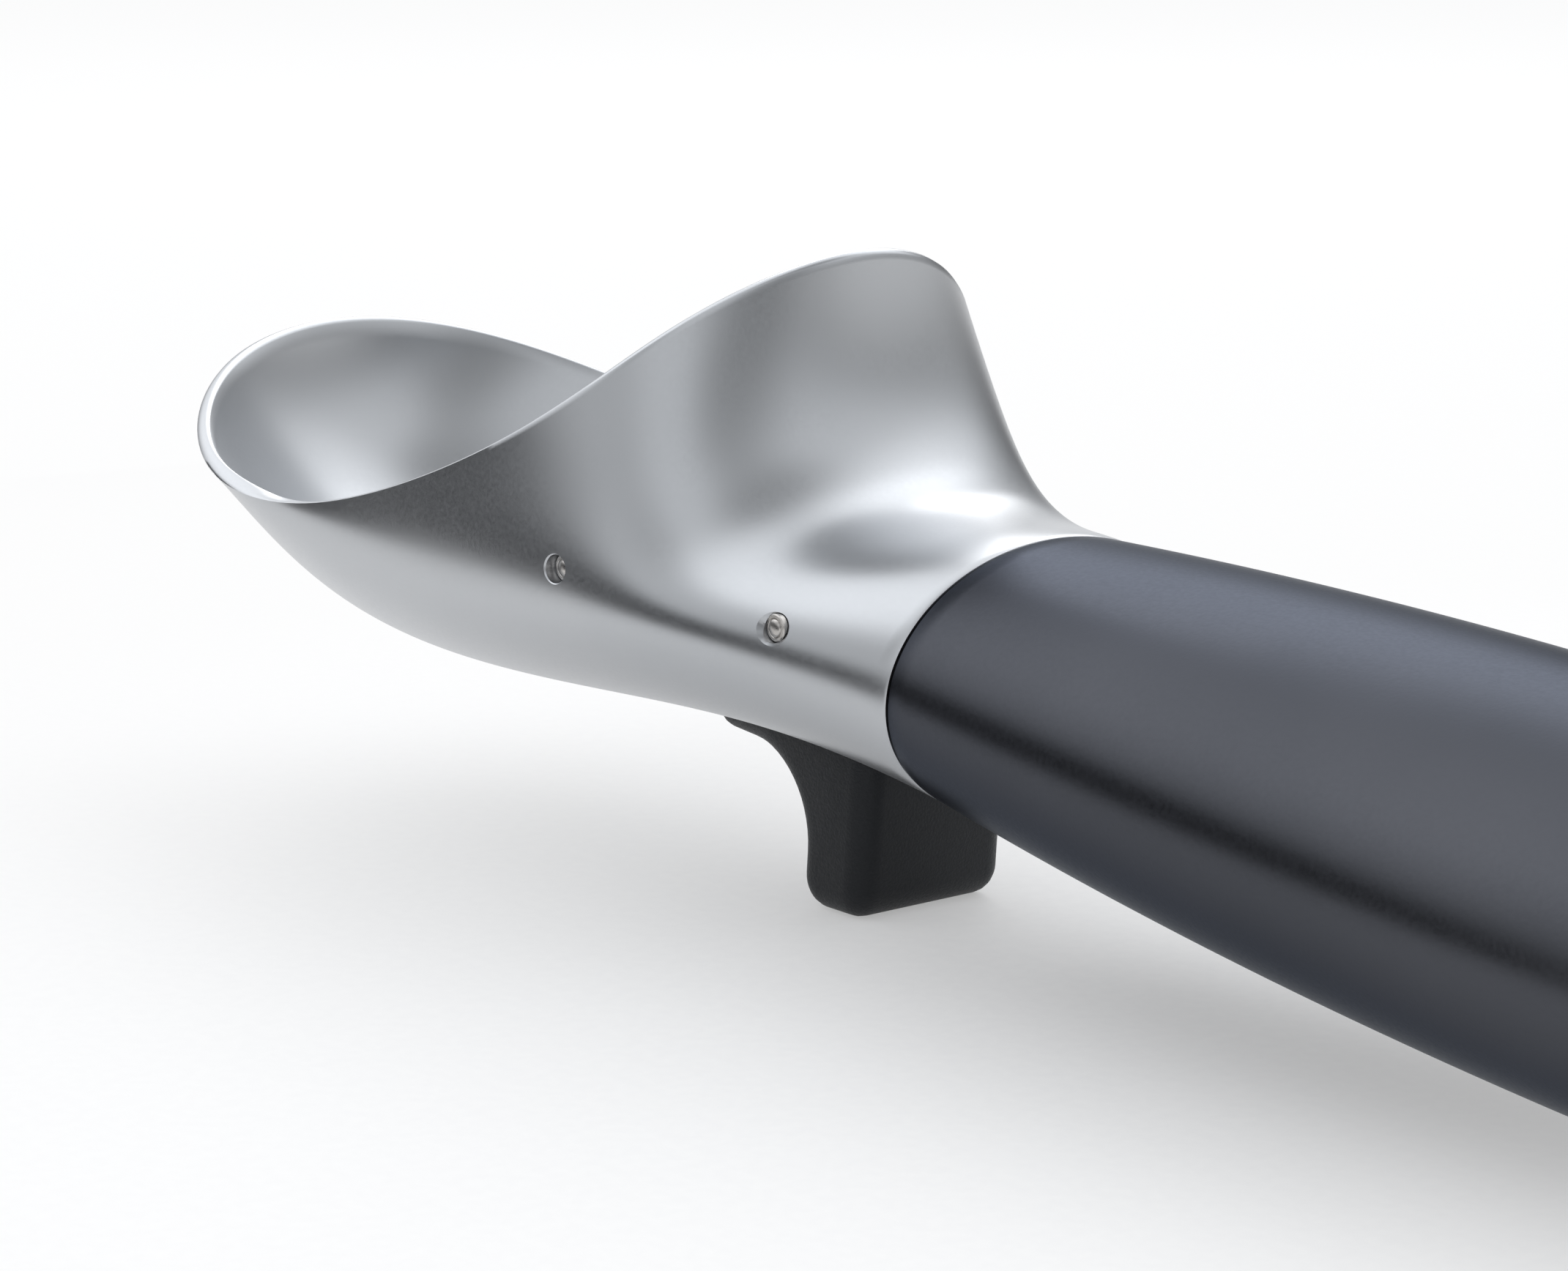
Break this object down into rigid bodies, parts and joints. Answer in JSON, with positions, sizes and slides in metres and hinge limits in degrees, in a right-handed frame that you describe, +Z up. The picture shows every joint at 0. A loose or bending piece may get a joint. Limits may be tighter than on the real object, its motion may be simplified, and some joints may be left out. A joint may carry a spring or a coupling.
{
  "type": "ice cream scoop",
  "caption": "Trigger scoop with a smooth flared bowl; a finger lever under the neck swings an ejector plate that lifts the ice cream out of the bowl.",
  "frame": {"origin": "centre of the whole scoop in plan, at the surface it lies on", "axes": "+X from the handle to the bowl's tip, +Y to the left seen from behind the handle, +Z up, out of the bowl's mouth"},
  "size_m": [0.2101, 0.0476, 0.0478],
  "materials": {
    "head_metal": "satin",
    "handle_metal": "satin",
    "grip_plastic": "matte",
    "plate_steel": "satin",
    "lever_steel": "satin",
    "pin_steel": "satin",
    "spring_steel": "satin",
    "plug_metal": "satin",
    "white_plastic": "satin",
    "black_rubber": "matte",
    "insert_brass": "satin"
  },
  "bodies": {
    "scoop": {"scoop_head": "head_metal", "throat_cover": "plate_steel", "stop_bumper": "black_rubber", "ejector_pins": "pin_steel", "ejector_washers": "white_plastic", "trigger_pin": "pin_steel", "spacer_sleeves": "white_plastic", "return_spring": "spring_steel", "neck_plug": "plug_metal", "plug_seal": "black_rubber", "tie_bolt": "pin_steel", "lock_washer": "spring_steel", "dowel_pins": "pin_steel", "threaded_insert": "insert_brass", "handle_shell": "handle_metal"},
    "trigger": {"trigger_lever": "lever_steel", "trigger_grip": "grip_plastic", "trigger_bushes": "white_plastic"},
    "ejector": {"ejector_plate": "plate_steel", "drive_pin": "pin_steel", "drive_rollers": "white_plastic"}
  },
  "joints": [
    {"name": "trigger_pull", "type": "hinge", "parent": "scoop", "child": "trigger", "pos_m": [0.02424, 0, 0.02358], "axis": [0, 1, 0], "range_deg": [0, 16], "stiffness_Nm_per_rad": 0.5, "springref_deg": -17.19},
    {"name": "ejector_turn", "type": "hinge", "parent": "scoop", "child": "ejector", "pos_m": [0.04427, 0, 0.02527], "axis": [0, -1, 0], "range_deg": [0, 39.2]}
  ],
  "couplings": [
    {"joint": "ejector_turn", "follows": "trigger_pull", "ratio": 2.45}
  ]
}
